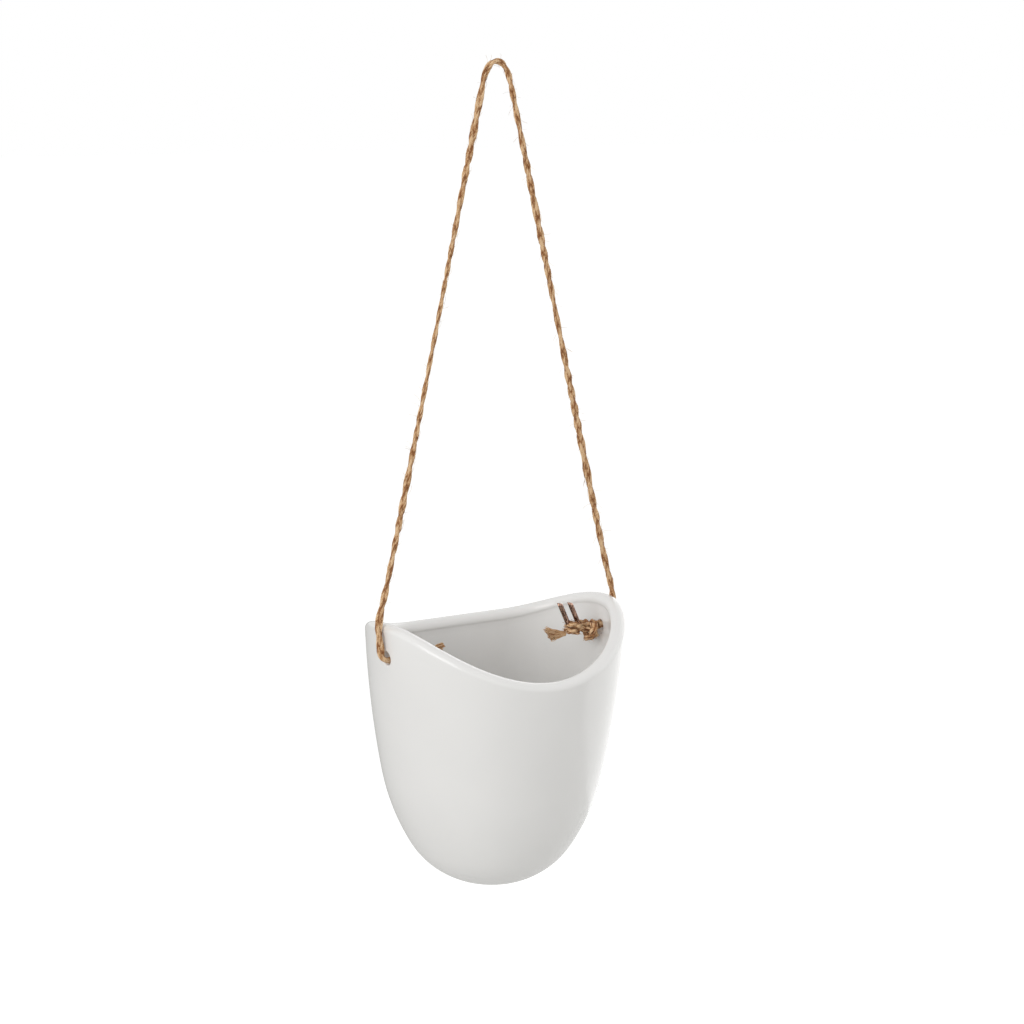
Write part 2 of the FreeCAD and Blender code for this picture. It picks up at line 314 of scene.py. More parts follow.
def loose_hair_tree():
    """Short bent fibres that stand off a path at random, mostly along it."""
    tree, add, given = new_tree("loose_hair", hairs=500, diameter=2.8 * MM, reach=4.2 * MM,
                                thickness=0.1 * MM, stray=1.0, seed=3)
    path = add("GeometryNodeMeshToCurve", {"Mesh": given["Geometry"]})[0]
    spots = add("GeometryNodeCurveToPoints", {"Curve": path, "Count": given["hairs"]}, mode="COUNT")
    bend = add("ShaderNodeCombineXYZ", (0.28, 0.0, 0.45))[0]
    end = add("ShaderNodeCombineXYZ", (0.1, 0.12, 1.0))[0]
    line = add("GeometryNodeCurveQuadraticBezier",
               {"Resolution": 5, "Start": (0, 0, 0), "Middle": bend, "End": end})[0]
    thick = add("ShaderNodeMath", (given["thickness"], given["reach"]), "DIVIDE")[0]
    hair = tubes(add, line, 3, 0.5, thick)
    stray = add("FunctionNodeRandomValue", {0: (-1, -1, -1), 1: (1, 1, 1), 8: given["seed"]},
                data_type="FLOAT_VECTOR")[0]
    astray = add("ShaderNodeVectorMath", {0: stray, "Scale": given["stray"]}, "SCALE")[0]
    towards = add("ShaderNodeVectorMath", (spots["Tangent"], astray), "ADD")[0]

    # Each starts in the twine's own surface, on a side of its own.
    next_seed = add("ShaderNodeMath", (given["seed"], 1.0), "ADD")[0]
    aside = add("FunctionNodeRandomValue", {0: (-1, -1, -1), 1: (1, 1, 1), 8: next_seed},
                data_type="FLOAT_VECTOR")[0]
    outward = add("ShaderNodeVectorMath", (spots["Tangent"], aside), "CROSS_PRODUCT")[0]
    unit = add("ShaderNodeVectorMath", (outward,), "NORMALIZE")[0]
    swell = add("GeometryNodeInputNamedAttribute", {"Name": "swell"}, data_type="FLOAT")[0]
    half = add("ShaderNodeMath", (given["diameter"], 0.4), "MULTIPLY")[0]
    out = add("ShaderNodeMath", (half, swell), "MULTIPLY")[0]
    shift = add("ShaderNodeVectorMath", {0: unit, "Scale": out}, "SCALE")[0]
    rooted = add("GeometryNodeSetPosition", {"Geometry": spots["Points"], "Offset": shift})[0]
    tone = add("FunctionNodeRandomValue", {0: (0, 0, 0), 1: (1, 1, 1), 8: next_seed},
               data_type="FLOAT_VECTOR")[0]
    rooted = add("GeometryNodeStoreNamedAttribute", {"Geometry": rooted, "Name": "grain", "Value": tone},
                 data_type="FLOAT_VECTOR", domain="POINT")[0]
    turned = add("FunctionNodeAlignRotationToVector", {"Vector": towards}, axis="Z")[0]
    size = add("FunctionNodeRandomValue", {2: 0.45, 3: 1.1, 8: given["seed"]}, data_type="FLOAT")[1]
    long = add("ShaderNodeMath", (size, given["reach"]), "MULTIPLY")[0]
    hairs = add("GeometryNodeInstanceOnPoints",
                {"Points": rooted, "Instance": hair, "Rotation": turned, "Scale": long})[0]
    end_tree(add, hairs, given)
    return tree


def frayed_end_tree():
    """Brush of fibres along +X that spreads from a narrow root to a wide flat tip, cut nearly square."""
    tree, add, given = new_tree("frayed_end", fibres=260, reach=10.4 * MM, root=1.8 * MM, tip=6.2 * MM,
                                thickness=3.0 * MM, fibre=0.34 * MM, slant=0.17, seed=5)
    line = add("GeometryNodeCurvePrimitiveLine", {"Start": (0, 0, 0), "End": (1, 0, 0)})[0]
    even = add("GeometryNodeResampleCurve", {"Curve": line, "Count": 8}, mode="COUNT")[0]
    copies = add("GeometryNodeDuplicateElements", {"Geometry": even, "Amount": given["fibres"]},
                 domain="SPLINE")
    index = copies["Duplicate Index"]
    along = add("GeometryNodeSplineParameter")["Factor"]
    rolls = []
    for k in range(4):
        seed = add("ShaderNodeMath", (given["seed"], float(k)), "ADD")[0]
        rolls.append(add("FunctionNodeRandomValue", {2: 0.0, 3: 1.0, 7: index, 8: seed},
                         data_type="FLOAT")[1])

    # Each fibre keeps its place in a round bundle: an angle and a distance from the middle.
    angle = add("ShaderNodeMath", (rolls[0], 2 * math.pi), "MULTIPLY")[0]
    out = add("ShaderNodeMath", (rolls[1], 0.5), "POWER")[0]
    # Fibres that start side by side wave together, as damp clumps do.
    clump = add("ShaderNodeMath", (rolls[0], 9.0), "MULTIPLY")[0]
    waves = []
    for own, scale in ((clump, 1.3), (index, 2.1)):
        place = add("ShaderNodeCombineXYZ", (along, own, given["seed"]))[0]
        sway = add("ShaderNodeTexNoise", {"Vector": place, "Scale": scale, "Detail": 1.0})["Color"]
        waves.append(add("ShaderNodeVectorMath", (sway, (0.5, 0.5, 0.5)), "SUBTRACT")[0])
    both = add("ShaderNodeVectorMath", (waves[0], waves[1]), "ADD")[0]
    swing = add("ShaderNodeMath", (along, 2.4 * MM), "MULTIPLY")[0]
    waving = add("ShaderNodeVectorMath", {0: both, "Scale": swing}, "SCALE")[0]

    fan = add("ShaderNodeMath", (along, 1.3), "POWER")[0]
    width = add("ShaderNodeMapRange", {0: fan, 3: given["root"], 4: given["tip"]})[0]
    deep = add("ShaderNodeMapRange", {0: fan, 3: given["root"], 4: given["thickness"]})[0]
    sides = []
    for size, wave_form in ((deep, "COSINE"), (width, "SINE")):
        part = add("ShaderNodeMath", (angle,), wave_form)[0]
        reach = add("ShaderNodeMath", (part, out), "MULTIPLY")[0]
        half = add("ShaderNodeMath", (reach, 0.5), "MULTIPLY")[0]
        sides.append(add("ShaderNodeMath", (half, size), "MULTIPLY")[0])
    cut = add("ShaderNodeMapRange", {0: rolls[2], 3: 0.8, 4: 0.86})[0]
    level = add("ShaderNodeMath", (angle,), "SINE")[0]
    height = add("ShaderNodeMath", (level, out), "MULTIPLY")[0]
    longer = add("ShaderNodeMath", (height, given["slant"], cut), "MULTIPLY_ADD")[0]
    far = add("ShaderNodeMath", (longer, given["reach"]), "MULTIPLY")[0]
    onward = add("ShaderNodeMath", (along, far), "MULTIPLY")[0]
    straight = add("ShaderNodeCombineXYZ", (onward, sides[0], sides[1]))[0]
    spot = add("ShaderNodeVectorMath", (straight, waving), "ADD")[0]

    grain = add("ShaderNodeCombineXYZ", (onward, rolls[3], rolls[2]))[0]
    marked = add("GeometryNodeStoreNamedAttribute",
                 {"Geometry": copies["Geometry"], "Name": "grain", "Value": grain},
                 data_type="FLOAT_VECTOR", domain="POINT")[0]
    fanned = add("GeometryNodeSetPosition", {"Geometry": marked, "Position": spot})[0]
    taper = add("ShaderNodeMapRange", {0: along, 3: 0.55, 4: 0.34})[0]
    thick = add("ShaderNodeMath", (given["fibre"], taper), "MULTIPLY")[0]
    end_tree(add, tubes(add, fanned, 4, 1.0, thick), given)
    return tree


# ---- materials ----

def new_material(name):
    """Empty material; returns it and the function that adds to its nodes."""
    material = bpy.data.materials.new(name)
    material.use_nodes = True
    material.node_tree.nodes.clear()
    return material, partial(add_node, material.node_tree)


def colour_stops(add, factor, stops):
    """Colour that runs through these stops, each a place from 0 to 1 and a linear colour."""
    outputs = add("ShaderNodeValToRGB", {"Fac": factor})
    ramp = outputs[0].node.color_ramp
    while len(ramp.elements) < len(stops):
        ramp.elements.new(0.5)
    for element, (place, colour) in zip(ramp.elements, stops):
        element.position = place
        element.color = (*colour, 1.0)
    return outputs[0]


def glazed_ceramic(pot):
    """Slip-cast white ceramic dipped in gloss glaze.

    The glaze gives an even milky white with clear soft highlights, and a slow ripple where
    it ran. The foot is wiped clean before firing, so it is bare matt clay.
    """
    material, add = new_material("gloss_glazed_ceramic")
    place = add("ShaderNodeTexCoord")["Object"]
    pool = add("ShaderNodeTexNoise", {"Vector": place, "Scale": 1 / (45 * MM), "Detail": 2.0})["Fac"]
    deep = [0.965 * c for c in pot.glaze]
    glaze = colour_stops(add, pool, [(0.3, deep), (0.7, pot.glaze)])
    ripple = add("ShaderNodeTexNoise", {"Vector": place, "Scale": 1 / (14 * MM), "Detail": 1.0})["Fac"]
    gloss = add("ShaderNodeMapRange", {0: ripple, 3: 0.13, 4: 0.2})[0]

    # The wiped foot ends half a millimetre up, at an edge that is not quite even.
    height = add("ShaderNodeSeparateXYZ", (place,))["Z"]
    edge = add("ShaderNodeMath", (ripple, 0.5 * MM, FOOT_Z), "MULTIPLY_ADD")[0]
    glazed = add("ShaderNodeMath", (height, edge), "GREATER_THAN")[0]
    grit = add("ShaderNodeTexNoise", {"Vector": place, "Scale": 1 / (0.6 * MM), "Detail": 3.0})["Fac"]
    clay = colour_stops(add, grit, [(0.3, [0.8 * c for c in pot.bisque]), (0.7, pot.bisque)])
    skin = add("ShaderNodeMix", {"Factor": glazed, 6: clay, 7: glaze}, data_type="RGBA")[2]
    rough = add("ShaderNodeMix", {"Factor": glazed, 2: 0.85, 3: gloss}, data_type="FLOAT")[0]
    relief = add("ShaderNodeMix", {"Factor": glazed, 2: grit, 3: ripple}, data_type="FLOAT")[0]
    bump = add("ShaderNodeBump", {"Strength": 0.25, "Distance": 0.05 * MM, "Height": relief})[0]
    shader = add("ShaderNodeBsdfPrincipled",
                 {"Base Color": skin, "Roughness": rough, "IOR": 1.5, "Normal": bump})[0]
    add("ShaderNodeOutputMaterial", {"Surface": shader})
    return material


def jute_fibre(twine):
    """Two-ply jute twine, spun from golden-brown bast fibre.

    Each strand has its own tone and lengthwise streaks, and the fibre is dry and matt. Strands deep
    between the plies are darkened as painted shade.
    """
    material, add = new_material("spun_jute")
    grain = add("ShaderNodeAttribute", attribute_name="grain")["Vector"]
    parts = add("ShaderNodeSeparateXYZ", (grain,))
    # Streaks are 2.5 mm long, and a strand's tone sets where it reads the pattern.
    stretched = add("ShaderNodeVectorMath", (grain, (1 / (2.5 * MM), 30.0, 4.0)), "MULTIPLY")[0]
    streak = add("ShaderNodeTexNoise", {"Vector": stretched, "Scale": 1.0, "Detail": 3.0})["Fac"]
    place = add("ShaderNodeTexCoord")["Object"]
    # A single fibre is far thinner than this; 0.35 mm is as fine as the picture can show.
    fibre = add("ShaderNodeTexNoise", {"Vector": place, "Scale": 1 / (0.35 * MM), "Detail": 2.0})["Fac"]
    # The strand's tone, its streaks, the fibres and the painted shade between the plies add up to a place
    # on the ramp.
    own = add("ShaderNodeMath", (parts["Y"], 0.4, -0.15), "MULTIPLY_ADD")[0]
    toned = add("ShaderNodeMath", (streak, 0.9, own), "MULTIPLY_ADD")[0]
    speck = add("ShaderNodeMath", (fibre, 0.6, -0.3), "MULTIPLY_ADD")[0]
    outer = add("ShaderNodeMath", (toned, speck), "ADD")[0]
    hollow = add("ShaderNodeAttribute", attribute_name="hollow")["Fac"]
    mixed = add("ShaderNodeMath", (hollow, -0.22, outer), "MULTIPLY_ADD")[0]
    colour = colour_stops(add, mixed, [(0.3, twine.dark), (0.47, twine.middle), (0.66, twine.light)])
    bump = add("ShaderNodeBump", {"Strength": 0.6, "Distance": 0.12 * MM, "Height": fibre})[0]
    shader = add("ShaderNodeBsdfPrincipled",
                 {"Base Color": colour, "Roughness": 0.88, "IOR": 1.45, "Sheen Weight": 0.15,
                  "Sheen Roughness": 0.5, "Normal": bump})[0]
    add("ShaderNodeOutputMaterial", {"Surface": shader})
    return material


def drawn_steel(pin):
    """Drawn steel wire: dark reflections, with painted highlights as bright streaks along the wire."""
    material, add = new_material("drawn_steel_wire")
    place = add("ShaderNodeTexCoord")["Object"]
    turned = add("ShaderNodeMapping", {"Vector": place, "Rotation": (0, pin.lean, 0),
                                             "Scale": (1 / (0.25 * MM), 1 / (0.25 * MM), 1 / (6 * MM))})[0]
    lines = add("ShaderNodeTexNoise", {"Vector": turned, "Scale": 1.0, "Detail": 2.0})["Fac"]
    # The streaks run from three quarters of the steel's colour up to four and a half times it. The bright
    # ones are painted highlights: glints along the wire set into its colour.
    dull = [0.75 * c for c in pin.steel]
    painted_glint = [min(1.0, 4.5 * c) for c in pin.steel]
    colour = colour_stops(add, lines, [(0.4, dull), (0.49, pin.steel), (0.56, painted_glint)])
    rough = add("ShaderNodeMapRange", {0: lines, 3: 0.14, 4: 0.3})[0]
    bump = add("ShaderNodeBump", {"Strength": 0.2, "Distance": 0.02 * MM, "Height": lines})[0]
    shader = add("ShaderNodeBsdfPrincipled",
                 {"Base Color": colour, "Metallic": 1.0, "Roughness": rough, "Normal": bump})[0]
    add("ShaderNodeOutputMaterial", {"Surface": shader})
    return material


def seen_by(add, *rays):
    """One for these kinds of ray and nought for others."""
    path = add("ShaderNodeLightPath")
    seen = path[rays[0]]
    for ray in rays[1:]:
        seen = add("ShaderNodeMath", (seen, path[ray]), "MAXIMUM")[0]
    return seen


def painted_floor(studio):
    """Matt pale paint, which the camera sees a little brighter, so that it meets the backdrop."""
    material, add = new_material("matt_pale_paint")
    place = add("ShaderNodeTexCoord")["Object"]
    cloud = add("ShaderNodeTexNoise", {"Vector": place, "Scale": 0.8, "Detail": 2.0})["Fac"]
    colour = colour_stops(add, cloud, [(0.3, [0.98 * c for c in studio.ground]), (0.7, studio.ground)])
    paint = add("ShaderNodeBsdfPrincipled", {"Base Color": colour, "Roughness": 0.9})[0]
    glow = add("ShaderNodeMath", (seen_by(add, "Is Camera Ray"), 0.62), "MULTIPLY")[0]
    white = add("ShaderNodeEmission", {"Color": (1, 1, 1, 1), "Strength": glow})[0]
    both = add("ShaderNodeAddShader", (paint, white))[0]
    add("ShaderNodeOutputMaterial", {"Surface": both})
    return material


# ---- the pot ----

# Powers of the distance from the ears by which the rim falls. A power of 2 is a parabola.
BACK_SAG = 2
FRONT_SAG = 1.75


def facing(lean, turn):
    """Direction that leans down from level, turned from the front towards +X."""
    return Vector((math.cos(lean) * math.sin(turn), -math.cos(lean) * math.cos(turn), -math.sin(lean)))


def between(start, end, share):
    """Direction a share of the way round from one direction to another."""
    angle = start.angle(end)
    return (start * math.sin((1 - share) * angle) + end * math.sin(share * angle)) / math.sin(angle)


class PotForm:
    """The pot's outer surface by rule.

    A round body, whose side is three arcs, is cut off flat at the back, and a ball rolls
    along each upright corner. A place on it is a strip, a share t of that strip's way
    round, and a length s down the side from the level of the ears.
    """

    def __init__(self, pot):
        hip_lean, foot_lean, side_lean = (math.radians(a) for a in (30.0, 77.0, 11.0))
        hip_radius = 104.0 * MM
        base_radius = 39.0 * MM
        self.pot = pot
        height = EAR_Z - FOOT_Z
        left = height - hip_radius * (math.sin(hip_lean) - math.sin(side_lean)) \
            - base_radius * (math.sin(foot_lean) - math.sin(hip_lean))
        side_radius = left / (math.sin(side_lean) - math.sin(pot.rim_lean))
        self.arcs = []
        x, z = pot.width / 2, EAR_Z
        for radius, lean, end in ((side_radius, pot.rim_lean, side_lean),
                                  (hip_radius, side_lean, hip_lean),
                                  (base_radius, hip_lean, foot_lean)):
            middle_x = x - radius * math.cos(lean)
            middle_z = z + radius * math.sin(lean)
            self.arcs.append((middle_x, middle_z, radius, lean, end))
            x = middle_x + radius * math.cos(end)
            z = middle_z - radius * math.sin(end)
        self.length = sum(arc[2] * (arc[4] - arc[3]) for arc in self.arcs)
        front_lean = math.asin(math.sin(pot.rim_lean) + pot.front_drop / side_radius)
        front = pot.width / 2 - side_radius * (math.cos(pot.rim_lean) - math.cos(front_lean))
        self.back = pot.depth - front
        self.axis_y = WALL_Y - self.back
        self.ball_back = self.back - pot.corner
        # The two corners meet where the ball's centre reaches the middle of the back.
        self.closing = self.solve(lambda s: self.round_at(s, pot.corner)[0] - self.ball_back,
                                  self.length, 0.0)

    @staticmethod
    def solve(rule, low, high):
        """Where the rule passes zero, from a negative value at low to a positive one at high."""
        for _ in range(50):
            middle = (low + high) / 2
            if rule(middle) < 0:
                low = middle
            else:
                high = middle
        return high

    def arc_at(self, s):
        for arc in self.arcs:
            reach = arc[2] * (arc[4] - arc[3])
            if s <= reach or arc is self.arcs[-1]:
                return arc, arc[3] + s / arc[2]
            s -= reach

    def round_at(self, s, inset):
        """Distance from the upright axis and height of the round body set in by inset, and its lean."""
        (middle_x, middle_z, radius, _, _), lean = self.arc_at(s)
        reach = radius - inset
        return middle_x + reach * math.cos(lean), middle_z - reach * math.sin(lean), lean

    def place(self, strip, t, s, inset):
        """Point and outward direction on the surface set in by inset."""
        corner = self.pot.corner
        ball_out, ball_z, lean = self.round_at(s, corner)
        ball_x = math.sqrt(max(ball_out ** 2 - self.ball_back ** 2, 0.0)) if s < self.closing else 0.0
        reach = math.atan2(ball_x, -self.ball_back)
        if strip == "round":
            out, z, lean = self.round_at(s, inset)
            turn = t * (reach if s < self.closing else math.pi)
            point = Vector((out * math.sin(turn), self.axis_y - out * math.cos(turn), z))
            return point, facing(lean, turn)
        straight_back = Vector((0, 1, 0))
        if strip == "corner":
            normal = between(facing(lean, reach), straight_back, t)
            ball = Vector((ball_x, self.axis_y + self.ball_back, ball_z))
            return ball + normal * (corner - inset), normal
        return Vector(((1 - t) * ball_x, WALL_Y - inset, ball_z)), straight_back

    def rim_z(self, y):
        """Height of the rim, which falls from the ears to the back and to the front."""
        pot = self.pot
        ear_y = WALL_Y - pot.ear
        back = max(0.0, y - ear_y) / pot.ear
        front = max(0.0, ear_y - y) / (pot.depth - pot.ear)
        return EAR_Z - pot.back_drop * back ** BACK_SAG - pot.front_drop * front ** FRONT_SAG

    def rim_up(self, y):
        """Direction square to the rim's own surface."""
        small = 0.01 * MM
        slope = (self.rim_z(y + small) - self.rim_z(y - small)) / (2 * small)
        return Vector((0, -slope, 1)).normalized()

    def side_x(self, y, z, inset):
        """Half width of the round body near the holes."""
        middle_x, middle_z, radius, _, _ = self.arcs[0]
        reach = radius - inset
        out = middle_x + math.sqrt(reach ** 2 - (middle_z - z) ** 2)
        return math.sqrt(out ** 2 - (y - self.axis_y) ** 2)


# Faces round each edge of the rim, and in the bend under its roll.
ROLL_STEPS = 7
TUCK_STEPS = 5


def section_upward(form, strip, t, rows):
    """One upright line round the wall: up the outside, over the lip and down the inside."""
    pot = form.pot
    halves = []
    for inset, radius, inward in ((0.0, pot.lip, 1), (pot.wall, pot.roll, -1)):
        proud = 0.0 if inward == 1 else pot.bead
        ball_inset = inset + inward * radius + proud

        def under_rim(s):
            ball = form.place(strip, t, s, ball_inset)[0]
            return (form.rim_z(ball.y) - ball.z) * form.rim_up(ball.y).z - radius
        top = form.solve(under_rim, 0.0, form.closing)
        ball, out = form.place(strip, t, top, ball_inset)
        up = form.rim_up(ball.y)
        half = [ball + between(out * inward, up, k / ROLL_STEPS) * radius
                for k in range(ROLL_STEPS, 0, -1)]
        if proud:
            for k in range(TUCK_STEPS):
                share = k / TUCK_STEPS
                proud_here = proud * (1 + math.cos(math.pi * share ** 1.5)) / 2
                half.append(form.place(strip, t, top + pot.tuck * share, inset + proud_here)[0])
            top += pot.tuck
        # The rows draw closer together towards the foot.
        spread = [1 - (1 - k / rows) ** 1.5 for k in range(rows + 1)]
        half += [form.place(strip, t, top + (form.closing - top) * share, inset)[0] for share in spread]
        halves.append(half)
    outside, inside = halves
    return outside[::-1] + inside


def above_floor(form, point):
    """Lifts a point of the inner wall onto the floor, with a soft bend between them."""
    level = FOOT_Z + form.pot.floor
    bend = 1.6 * MM
    lift = bend * math.log1p(math.exp(min((level - point.z) / bend, 40.0)))
    return Vector((point.x, point.y, point.z + lift))


def section_below(form, t, rows, inset):
    """One upright line under the back corners, down to the middle of the foot or the floor."""
    line = [form.place("round", t, form.closing + (form.length - form.closing) * k / rows, inset)[0]
            for k in range(rows + 1)]
    middle = Vector((0, form.axis_y, line[-1].z))
    rings = 6
    line += [line[-1].lerp(middle, k / rings) for k in range(1, rings + 1)]
    return line


def fill_grid(bm, lines, side):
    """Faces between neighbouring lines of points, mirrored to this side."""
    grid = [[bm.verts.new((side * p.x, p.y, p.z)) for p in line] for line in lines]
    for left, right in zip(grid, grid[1:]):
        for k in range(len(left) - 1):
            bm.faces.new((left[k], right[k], right[k + 1], left[k + 1]))


def join_rings(bm, wide, narrow):
    """Triangles between two rings of evenly spaced points that start at the same angle."""
    i = j = 0
    while i < len(wide) or j < len(narrow):
        a = wide[i % len(wide)]
        b = narrow[j % len(narrow)]
        if (i + 1) / len(wide) <= (j + 1) / len(narrow):
            i += 1
            bm.faces.new((a, b, wide[i % len(wide)]))
        else:
            j += 1
            bm.faces.new((a, b, narrow[j % len(narrow)]))


def open_hole(bm, form, side):
    """One twine hole: a round window in each face of the wall, and a bore with soft edges."""
    pot = form.pot
    window = 5.4 * MM
    loose_reach = 1.7 * window
    near_reach = 2.2 * window
    around = 48

    def spot(radius, angle, inset, depth=0.0):
        y = HOLE_Y + radius * math.cos(angle)
        z = HOLE_Z + radius * math.sin(angle)
        return Vector((side * (form.side_x(y, z, inset) + depth), y, z))

    def off_centre(v):
        return math.hypot(v.co.y - HOLE_Y, v.co.z - HOLE_Z)

    bores = []
    for inset, inward in ((0.0, -1), (pot.wall, 1)):
        near = [v for v in bm.verts if v.co.x * side > pot.width / 4 and off_centre(v) < near_reach
                and abs(abs(v.co.x) - form.side_x(v.co.y, v.co.z, inset)) < pot.wall / 4]
        bmesh.ops.delete(bm, geom=[v for v in near if off_centre(v) < window], context="VERTS")
        kept = [v for v in near if v.is_valid]
        edge = {v for v in kept if v.is_boundary}
        ring = [max(edge, key=lambda v: v.co.y)]
        while len(ring) < len(edge):
            beside = [e.other_vert(ring[-1]) for e in ring[-1].link_edges if e.is_boundary]
            ring.append(next(v for v in beside if v not in ring))
        arms = [v.co - Vector((v.co.x, HOLE_Y, HOLE_Z)) for v in ring]
        if sum(a.y * b.z - a.z * b.y for a, b in zip(arms, arms[1:])) < 0:
            ring.reverse()
        first = math.atan2(ring[0].co.z - HOLE_Z, ring[0].co.y - HOLE_Y)
        for k, v in enumerate(ring):
            v.co = spot(window, first + 2 * math.pi * k / len(ring), inset)
        loose = [v for v in kept if v not in edge and off_centre(v) < loose_reach]
        for _ in range(6):
            bmesh.ops.smooth_vert(bm, verts=loose, factor=0.5, use_axis_x=True, use_axis_y=True,
                                  use_axis_z=True)
            for v in loose:
                v.co.x = side * form.side_x(v.co.y, v.co.z, inset)

        bore = pot.hole / 2
        soft = pot.hole_edge
        flat = 0.6 * MM
        steps = 4
        rings = [(bore + soft + flat, 0.0)]
        for k in range(steps + 1):
            angle = k / steps * math.pi / 2
            rings.append((bore + soft * (1 - math.sin(angle)), inward * soft * (1 - math.cos(angle))))
        made = [[bm.verts.new(spot(radius, first + 2 * math.pi * k / around, inset, depth))
                 for k in range(around)] for radius, depth in rings]
        join_rings(bm, ring, made[0])
        for wide, narrow in zip(made, made[1:]):
            for k in range(around):
                after = (k + 1) % around
                bm.faces.new((wide[k], wide[after], narrow[after], narrow[k]))
        bores.append((first, made[-1]))
    (first, outer), (second, inner) = bores
    shift = round((first - second) / (2 * math.pi) * around)
    for k in range(around):
        after = (k + 1) % around
        bm.faces.new((outer[k], outer[after], inner[(after + shift) % around],
                      inner[(k + shift) % around]))


def pot_mesh(pot):
    """The whole casting as one closed mesh."""
    form = PotForm(pot)
    rows = 56
    rows_below = 9
    strips = (("round", 54), ("corner", 24), ("back", 12))
    upper = []
    for strip, columns in strips:
        first = 0 if strip == "round" else 1
        upper += [section_upward(form, strip, k / columns, rows) for k in range(first, columns + 1)]
    around = strips[0][1]
    outer = [section_below(form, k / around, rows_below, 0.0) for k in range(around + 1)]
    inner = [section_below(form, k / around, rows_below, pot.wall) for k in range(around + 1)]
    inner = [[above_floor(form, p) for p in line] for line in inner]
    outside = rows + 1 + 2 * ROLL_STEPS
    upper = [line[:outside] + [above_floor(form, p) for p in line[outside:]] for line in upper]

    bm = bmesh.new()
    for side in (1, -1):
        for lines in (upper, outer, inner):
            fill_grid(bm, lines, side)
    bmesh.ops.remove_doubles(bm, verts=bm.verts, dist=0.004 * MM)
    for side in (1, -1):
        open_hole(bm, form, side)
    bmesh.ops.recalc_face_normals(bm, faces=bm.faces)
    if any(not e.is_manifold for e in bm.edges) or bm.calc_volume(signed=True) <= 0:
        raise RuntimeError("the pot's surface isn't closed")
    mesh = bpy.data.meshes.new("glazed_pot")
    bm.to_mesh(mesh)
    bm.free()
    mesh.shade_smooth()
    return mesh


# ---- the twine ----

# The route's points, from the left knot over the hook to the right knot. The points beside
# the ears and the hook lie on the long straight stretches, about 6 diameters from the bend.
ROUTE = [
    (-49.62, -14.2, -246.9),
    (-58.70, -15.2, -248.8),
    (-58.95, -13.2, -239.0),
    (-59.30, -12.0, -230.6),
    (-53.90, -10.8, -214.5),
    (-8.60, -1.0, -16.0),
    (-4.50, 0.0, 1.4),
    (4.50, 0.0, 1.4),
    (8.60, -1.0, -16.0),
    (54.50, -8.0, -214.5),
    (59.30, -9.0, -230.6),
    (59.02, -10.4, -236.6),
    (58.92, -14.0, -245.6),
    (49.62, -14.0, -245.6),
]

# Hand-spun twine is thick and thin: share of the loop's length, and its width there in mm.
TWINE_WIDTHS = [(0.0, 3.6), (0.05, 3.7), (0.08, 2.8), (0.10, 2.7), (0.15, 3.4), (0.19, 2.7), (0.25, 2.2),
                (0.31, 2.2), (0.39, 2.9), (0.44, 3.5), (0.50, 3.0), (0.56, 2.8), (0.62, 3.5), (0.67, 3.2),
                (0.72, 2.5), (0.78, 3.5), (0.83, 3.7), (0.91, 3.2), (1.0, 3.2)]


def route_points():
    """Points along the smooth line that the route's points steer."""
    curve = bpy.data.curves.new("twine_route", "CURVE")
    curve.dimensions = "3D"
    curve.resolution_u = 16
    spline = curve.splines.new("NURBS")
    spline.points.add(len(ROUTE) - 1)
    for point, (x, y, z) in zip(spline.points, ROUTE):
        point.co = (x * MM, y * MM, z * MM, 1.0)
    spline.order_u = 3
    spline.use_endpoint_u = True
    holder = bpy.data.objects.new("twine_route", curve)
    bpy.context.scene.collection.objects.link(holder)
    graph = bpy.context.evaluated_depsgraph_get()
    line = bpy.data.meshes.new_from_object(holder.evaluated_get(graph))
    points = [v.co.copy() for v in line.vertices]
    bpy.data.objects.remove(holder)
    bpy.data.meshes.remove(line)
    return points


def line_mesh(name, points, swell):
    """Points joined in order, each with how thick the twine is there."""
    mesh = bpy.data.meshes.new(name)
    mesh.from_pydata([tuple(p) for p in points], [(k, k + 1) for k in range(len(points) - 1)], [])
    layer = mesh.attributes.new("swell", "FLOAT", "POINT")
    layer.data.foreach_set("value", list(swell))
    return mesh


def evenly(points, count):
    """The same line with its points evenly spaced."""
    steps = np.linalg.norm(np.diff(points, axis=0), axis=1)
    along = np.concatenate([[0.0], np.cumsum(steps)])
    wanted = np.linspace(0.0, along[-1], count)
    return np.stack([np.interp(wanted, along, points[:, k]) for k in range(3)], axis=1)


